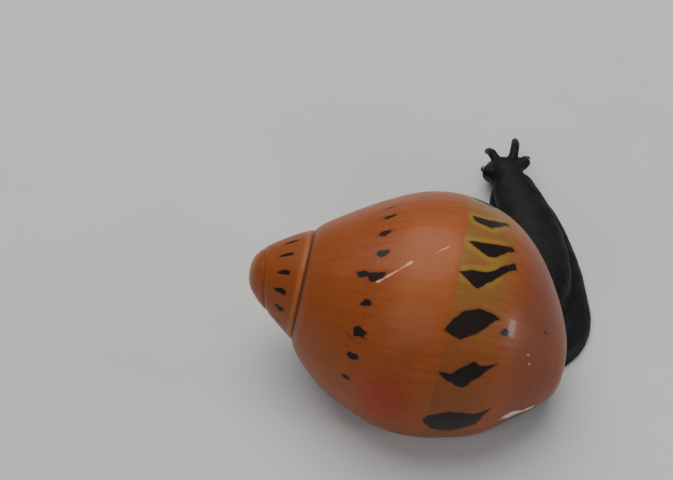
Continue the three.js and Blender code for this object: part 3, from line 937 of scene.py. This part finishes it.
def build_lid():
    angle = np.linspace(0, 2 * math.pi, LID_SIDES, endpoint=False)
    rows = []
    facts = []
    profile = [(share, 1.0) for share in np.linspace(0.02, 0.9, LID_RINGS)]
    profile += [(0.95, 0.9), (0.985, 0.68), (1.0, 0.4), (0.985, 0.05), (0.9, -0.3)]
    for share, level in profile:
        # The edge towards the tail is straighter, as on a half-moon.
        straight = 1 - 0.17 * smooth(-np.sin(angle), 0.1, 1.0)
        x = np.cos(angle) * LID_HALF_LENGTH * share
        y = np.sin(angle) * LID_HALF_WIDTH * share * straight
        plan = np.stack(
            [
                LID_CENTRE[0] + x * math.cos(LID_TURN) - y * math.sin(LID_TURN),
                LID_CENTRE[1] + x * math.sin(LID_TURN) + y * math.cos(LID_TURN),
            ],
            -1,
        )
        crown = LID_CROWN * (1 - share**2)
        base = foot_height(plan)
        cx = x - LID_COIL_CENTRE[0]
        cy = y - LID_COIL_CENTRE[1]
        spread = np.hypot(cx, cy * 1.4)
        coil = np.sin(spread * 2 * math.pi / LID_COIL_STEP + np.arctan2(cy, cx))
        groove = LID_GROOVE_DEPTH * coil if level > 0.95 else 0.0 * coil
        z = base + LID_TOP * level + crown * max(level, 0) + groove
        rows.append(np.column_stack([plan, z]))
        facts.append(coil)
    points, faces = loft(rows)
    return points, faces, np.concatenate(facts + [[0.0, 0.0]])


lid_points, lid_faces, lid_coil = build_lid()
lid = make_object("lid_visual", lid_points, lid_faces, {"coil": lid_coil})


# Materials
class Maker:
    """Short calls for a material's nodes."""

    def __init__(self, name):
        self.material = bpy.data.materials.new(name)
        self.material.use_nodes = True
        self.tree = self.material.node_tree
        self.shader = self.tree.nodes["Principled BSDF"]

    def link(self, source, socket):
        self.tree.links.new(source, socket)

    def put(self, socket, value):
        if isinstance(value, bpy.types.NodeSocket):
            self.link(value, socket)
        else:
            socket.default_value = value

    def math(self, operation, first, second=0.0):
        node = self.tree.nodes.new("ShaderNodeMath")
        node.operation = operation
        for socket, value in zip(node.inputs, (first, second)):
            self.put(socket, value)
        return node.outputs[0]

    def times(self, first, second):
        return self.math("MULTIPLY", first, second)

    def between(self, value, low, high, out_low=0.0, out_high=1.0):
        node = self.tree.nodes.new("ShaderNodeMapRange")
        node.interpolation_type = "SMOOTHSTEP"
        self.put(node.inputs["Value"], value)
        node.inputs["From Min"].default_value = low
        node.inputs["From Max"].default_value = high
        node.inputs["To Min"].default_value = out_low
        node.inputs["To Max"].default_value = out_high
        return node.outputs[0]

    def mix(self, share, first, second):
        node = self.tree.nodes.new("ShaderNodeMix")
        node.data_type = "RGBA"
        self.put(node.inputs[0], share)
        for socket, value in ((node.inputs[6], first), (node.inputs[7], second)):
            if isinstance(value, tuple):
                value = value + (1.0,)
            self.put(socket, value)
        return node.outputs[2]

    def attribute(self, name):
        node = self.tree.nodes.new("ShaderNodeAttribute")
        node.attribute_name = name
        return node.outputs["Fac"]

    def vector(self, x, y, z=0.0):
        node = self.tree.nodes.new("ShaderNodeCombineXYZ")
        for socket, value in zip(node.inputs, (x, y, z)):
            self.put(socket, value)
        return node.outputs[0]

    def segment_distance(self, along, turn, start, end):
        """Distance on the unrolled shell to a straight line between two marks' places."""
        arc = self.math("MULTIPLY", turn, math.radians(1) * MARK_RADIUS)
        a = flat_place(np.array(start[0]), np.array(start[1]))
        edge = flat_place(np.array(end[0]), np.array(end[1])) - a
        length = float(np.linalg.norm(edge))
        way = edge / length
        x = self.math("SUBTRACT", along, float(a[0]))
        y = self.math("SUBTRACT", arc, float(a[1]))
        forward = self.math("ADD", self.times(x, float(way[0])), self.times(y, float(way[1])))
        sideways = self.math("SUBTRACT", self.times(x, float(way[1])), self.times(y, float(way[0])))
        past = self.math("MAXIMUM", self.math("SUBTRACT", forward, length), self.times(forward, -1.0))
        past = self.math("MAXIMUM", past, 0.0)
        squares = self.math("ADD", self.times(past, past), self.times(sideways, sideways))
        return self.math("SQRT", squares)

    def place(self):
        return self.tree.nodes.new("ShaderNodeTexCoord").outputs["Object"]

    def noise(self, vector, scale, detail=3.0, rough=0.5):
        node = self.tree.nodes.new("ShaderNodeTexNoise")
        self.put(node.inputs["Vector"], vector)
        node.inputs["Scale"].default_value = scale
        node.inputs["Detail"].default_value = detail
        node.inputs["Roughness"].default_value = rough
        return node.outputs["Fac"]

    def bump(self, height, strength, distance):
        node = self.tree.nodes.new("ShaderNodeBump")
        self.put(node.inputs["Height"], height)
        node.inputs["Strength"].default_value = strength
        node.inputs["Distance"].default_value = distance
        self.link(node.outputs[0], self.shader.inputs["Normal"])


def shell_material(spire_part):
    m = Maker("shell_spire_glaze" if spire_part else "shell_glaze")
    along = m.attribute("along")
    turn = m.attribute("turn")
    mark = m.attribute("mark")
    rim = m.attribute("rim")
    streak_place = m.vector(m.math("MULTIPLY", along, 0.16), m.math("MULTIPLY", turn, 0.12))
    streak = m.noise(streak_place, 3.0, 5.0, 0.6)
    fine_place = m.vector(m.math("MULTIPLY", along, 0.2), m.math("MULTIPLY", turn, 0.55))
    fine = m.noise(fine_place, 4.0, 4.0, 0.6)
    spiral_place = m.vector(m.math("MULTIPLY", along, 1.5), m.math("MULTIPLY", turn, 0.006))
    spiral = m.noise(spiral_place, 1.6, 4.0, 0.6)
    cloud = m.noise(m.place(), 240.0, 3.0, 0.5)
    ground = m.mix(m.between(streak, 0.3, 0.72), (0.255, 0.059, 0.014), (0.305, 0.079, 0.019))
    ground = m.mix(m.between(spiral, 0.46, 0.66, 0.0, 0.2), ground, (0.19, 0.042, 0.012))
    ground = m.mix(m.between(cloud, 0.45, 0.75, 0.0, 0.3), ground, (0.33, 0.088, 0.022))
    # The shoulder towards the suture is browner, and the base darker.
    ground = m.mix(m.between(along, 10.5, 4.5, 0.0, 0.55), ground, (0.215, 0.055, 0.013))
    ground = m.mix(m.between(along, 18.6, 22.0, 0.0, 0.75), ground, (0.16, 0.036, 0.013))
    # An older stage of growth ends in a faint step, darker below it.
    older = m.math("MULTIPLY", m.between(turn, -16.5, -14.0, 0.0, 0.3), m.between(turn, 40.0, 0.0))
    ground = m.mix(m.math("MULTIPLY", older, m.between(along, 11.5, 8.5)), ground, (0.2, 0.045, 0.009))
    # Painted sheen: a paler, pinkish patch on the upper back, where the light from above falls.
    high = m.math("MULTIPLY", m.between(turn, -78.0, -35.0), m.between(turn, 20.0, -20.0))
    middle = m.math("MULTIPLY", m.between(along, 9.8, 12.5), m.between(along, 15.6, 14.6))
    ground = m.mix(m.math("MULTIPLY", m.math("MULTIPLY", high, middle), 0.6), ground, (0.37, 0.105, 0.027))
    # A red flush low on the near side.
    low = m.math("MULTIPLY", m.between(turn, 22.0, 42.0), m.between(turn, 75.0, 55.0))
    flush = m.math("MULTIPLY", m.between(along, 9.0, 11.5), m.between(along, 15.0, 12.5))
    ground = m.mix(m.math("MULTIPLY", m.math("MULTIPLY", low, flush), 0.65), ground, (0.31, 0.025, 0.01))
    if not spire_part:
        left = m.between(m.math("ADD", along, m.math("MULTIPLY", fine, 0.25)), 15.3, 15.46)
        right = m.between(along, 20.4, 17.6)
        band = m.math("MULTIPLY", left, right)
        upper = m.between(turn, 25.0, -30.0, 0.1, 0.72)
        band = m.math("MULTIPLY", band, upper)
        band = m.math("MULTIPLY", band, m.between(streak, 0.25, 0.65, 0.6, 1.0))
        ground = m.mix(band, ground, (0.2, 0.128, 0.033))
        lower = m.math("MULTIPLY", m.math("MULTIPLY", left, right), m.between(turn, -10.0, 40.0, 0.0, 0.5))
        ground = m.mix(lower, ground, (0.16, 0.05, 0.017))
        # The blotches have a greenish yellow fringe on their upper edge.
        fringe = m.math("MULTIPLY", m.between(mark, 0.62, 0.12), m.between(turn, -14.0, -24.0))
        fringe = m.math("MULTIPLY", fringe, m.math("MULTIPLY", left, m.between(along, 19.0, 17.5)))
        ground = m.mix(m.math("MULTIPLY", fringe, 0.5), ground, (0.33, 0.23, 0.03))
    growth = m.between(fine, 0.62, 0.8, 0.0, 0.22)
    ground = m.mix(growth, ground, (0.19, 0.042, 0.012))
    wander = m.math("MULTIPLY", m.math("SUBTRACT", m.noise(m.place(), 900.0, 4.0), 0.5), 0.42)
    ink_edge = m.between(m.math("ADD", mark, wander), 0.02, -0.06)
    halo = m.math("MULTIPLY", m.between(m.math("ADD", mark, wander), 0.22, 0.0), 0.35)
    colour = m.mix(halo, ground, (0.15, 0.034, 0.011))
    ink = m.mix(m.between(cloud, 0.4, 0.7), (0.007, 0.0055, 0.006), (0.016, 0.0115, 0.012))
    colour = m.mix(m.math("MULTIPLY", ink_edge, 0.97), colour, ink)
    if not spire_part:
        for start, end, half_width in SCRATCHES:
            gap = m.segment_distance(along, turn, start, end)
            line = m.between(m.math("ADD", gap, wander), half_width, half_width * 0.4)
            colour = m.mix(m.math("MULTIPLY", line, 0.7), colour, (0.8, 0.5, 0.3))
    if spire_part:
        # Painted highlight: a pale, lit rim along the spire's last ring, next to the suture.
        pale = m.math("MULTIPLY", m.between(along, 4.02, 4.3), m.between(along, 4.55, 4.42))
        colour = m.mix(m.math("MULTIPLY", pale, 0.35), colour, (0.45, 0.17, 0.055))
        # Painted shade: the spire's suture grooves are darkened.
        colour = m.mix(m.between(rim, 0.03, 0.1, 0.0, 0.6), colour, (0.12, 0.028, 0.009))
        whitening = m.between(along, 1.1, 0.2, 0.0, 0.5)
        colour = m.mix(m.math("MULTIPLY", whitening, cloud), colour, (0.55, 0.42, 0.3))
    else:
        shade = m.between(along, 4.95, 4.62, 0.0, 0.85)
        colour = m.mix(shade, colour, (0.055, 0.015, 0.007))
        # Thin pale rim of the outer lip, with a white stretch near the base.
        pale = m.math("MULTIPLY", m.between(rim, 0.34, 0.1), m.between(along, 12.0, 15.0))
        colour = m.mix(m.math("MULTIPLY", pale, 0.55), colour, (0.5, 0.27, 0.2))
        white_lip_gap = m.segment_distance(along, turn, WHITE_LIP_START, WHITE_LIP_END)
        ragged = m.math("MULTIPLY", m.math("SUBTRACT", m.noise(m.place(), 700.0, 5.0, 0.7), 0.5), 2.2)
        white_lip_edge = m.math("ADD", white_lip_gap, ragged)
        whitening = m.between(white_lip_edge, WHITE_LIP_HALF_WIDTH, WHITE_LIP_HALF_WIDTH * 0.45, 0.0, 0.9)
        colour = m.mix(whitening, colour, (0.62, 0.56, 0.48))
        for spot_along, spot_turn in WHITE_SPOTS:
            gap = m.segment_distance(along, turn, (spot_along, spot_turn), (spot_along + 0.05, spot_turn))
            colour = m.mix(m.between(gap, 0.12, 0.05, 0.0, 0.6), colour, (0.6, 0.4, 0.33))
        inside = m.between(rim, -0.05, -0.3)
        colour = m.mix(inside, colour, (0.72, 0.58, 0.42))
    m.link(colour, m.shader.inputs["Base Color"])
    m.shader.inputs["Roughness"].default_value = 0.38
    m.shader.inputs["Coat Weight"].default_value = 0.07
    m.shader.inputs["Coat Roughness"].default_value = 0.12
    m.shader.inputs["Specular IOR Level"].default_value = 0.16
    m.shader.inputs["Subsurface Weight"].default_value = 0.06
    m.shader.inputs["Subsurface Radius"].default_value = (0.0012, 0.0005, 0.0002)
    height = m.math("ADD", m.math("MULTIPLY", fine, 0.6), m.math("MULTIPLY", spiral, 0.4))
    m.bump(height, 0.12, 0.00008)
    return m.material


def skin_material():
    m = Maker("wet_black_skin")
    place = m.place()
    coarse = m.noise(place, 320.0, 4.0, 0.6)
    fine = m.noise(place, 1700.0, 3.0, 0.6)
    colour = m.mix(m.between(coarse, 0.35, 0.7), (0.0042, 0.0042, 0.0046), (0.0095, 0.0092, 0.0098))
    flecks = m.between(fine, 0.68, 0.78, 0.0, 0.45)
    colour = m.mix(flecks, colour, (0.04, 0.04, 0.042))
    m.link(colour, m.shader.inputs["Base Color"])
    m.link(m.between(coarse, 0.3, 0.7, 0.5, 0.68), m.shader.inputs["Roughness"])
    m.shader.inputs["Specular IOR Level"].default_value = 0.18
    height = m.math("ADD", m.math("MULTIPLY", coarse, 0.5), m.math("MULTIPLY", fine, 0.5))
    m.bump(height, 0.55, 0.00022)
    return m.material


def plain_material(name, low, high, scale, rough, coat=0.0, bump=0.2):
    m = Maker(name)
    grain = m.noise(m.place(), scale, 4.0, 0.6)
    m.link(m.mix(m.between(grain, 0.35, 0.7), low, high), m.shader.inputs["Base Color"])
    m.shader.inputs["Roughness"].default_value = rough
    m.shader.inputs["Coat Weight"].default_value = coat
    m.bump(grain, bump, 0.0001)
    return m.material


def lid_material():
    m = Maker("limy_lid")
    grain = m.noise(m.place(), 900.0, 4.0, 0.6)
    coil = m.attribute("coil")
    colour = m.mix(m.between(grain, 0.35, 0.7), (0.17, 0.13, 0.09), (0.3, 0.245, 0.18))
    colour = m.mix(m.between(coil, -0.2, -0.95, 0.0, 0.35), colour, (0.09, 0.065, 0.045))
    m.link(colour, m.shader.inputs["Base Color"])
    m.shader.inputs["Roughness"].default_value = 0.42
    m.bump(grain, 0.25, 0.00008)
    return m.material


def dress(obj, material):
    obj.data.materials.clear()
    obj.data.materials.append(material)


dress(whorl, shell_material(False))
dress(spire, shell_material(True))
callus = plain_material("deck_callus", (0.66, 0.52, 0.34), (0.8, 0.7, 0.54), 500.0, 0.3, 0.4)
dress(deck, callus)
dress(skin, skin_material())
eye_glass = plain_material("eye_black", (0.002, 0.002, 0.003), (0.006, 0.005, 0.006), 900.0, 0.08, 0.8, 0.02)
for eye in eyes:
    dress(eye, eye_glass)
dress(lid, lid_material())

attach(whorl, "root")
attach(spire, "root")
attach(deck, "root")
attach(skin, "root")
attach(lid, "root")
for eye in eyes:
    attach(eye, "root")
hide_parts("shell_body_whorl")
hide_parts("shell_spire")
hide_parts("shell_deck")
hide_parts("operculum")
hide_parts("eye_left")
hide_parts("eye_right")
FLESH_NODES = [
    "foot_tail",
    "foot_middle",
    "foot_bend",
    "foot_front",
    "body_column",
    "neck_rear",
    "neck_front",
    "head",
    "snout",
    "tentacle_left_base",
    "tentacle_left_tip",
    "tentacle_right_base",
    "tentacle_right_tip",
    "eye_stalk_left",
    "eye_stalk_right",
]
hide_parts(*FLESH_NODES)

# Floor, light and camera
FLOOR_SIZE = 1.2
bpy.ops.mesh.primitive_plane_add(size=FLOOR_SIZE)
floor = bpy.context.object
floor.name = "floor"
floor_look = plain_material("floor_pale", (0.58, 0.58, 0.57), (0.62, 0.62, 0.61), 30.0, 0.8, 0.0, 0.02)
floor.data.materials.append(floor_look)


def area_light(name, place, target, size, power, colour=(1, 1, 1)):
    data = bpy.data.lights.new(name, "AREA")
    data.shape = "DISK"
    data.size = size
    data.energy = power
    data.color = colour
    lamp = bpy.data.objects.new(name, data)
    bpy.context.collection.objects.link(lamp)
    lamp.location = place
    direction = np.array(target) - np.array(place)
    yaw = math.atan2(direction[0], direction[1])
    pitch = math.atan2(math.hypot(direction[0], direction[1]), -direction[2])
    lamp.rotation_euler = (pitch, 0, -yaw)
    return lamp


area_light("overhead", (-0.05, 0.16, 0.42), (0, 0, 0), 0.5, 2.2, (1.0, 0.98, 0.95))
area_light("low_side", (0.24, -0.09, 0.05), (0, 0, 0.006), 0.05, 0.2, (0.85, 0.93, 1.0))
area_light("near", (-0.16, -0.30, 0.30), (0, 0, 0.005), 0.34, 0.42, (0.97, 0.98, 1.0))

SKY_COLOUR = (0.92, 0.95, 1.0, 1)
SKY_STRENGTH = 0.18
world = bpy.data.worlds.new("studio")
bpy.context.scene.world = world
world.use_nodes = True
world.node_tree.nodes["Background"].inputs[0].default_value = SKY_COLOUR
world.node_tree.nodes["Background"].inputs[1].default_value = SKY_STRENGTH

CLIP_START = 0.005
camera_data = bpy.data.cameras.new("camera")
camera_data.lens = LENS
camera_data.sensor_width = SENSOR_WIDTH
camera_data.clip_start = CLIP_START
camera = bpy.data.objects.new("camera", camera_data)
bpy.context.collection.objects.link(camera)
camera.location = (CAMERA_PLACE + CENTRING) * MM
camera.rotation_euler = (math.radians(90 - CAMERA_ELEVATION), 0, 0)
bpy.context.scene.camera = camera
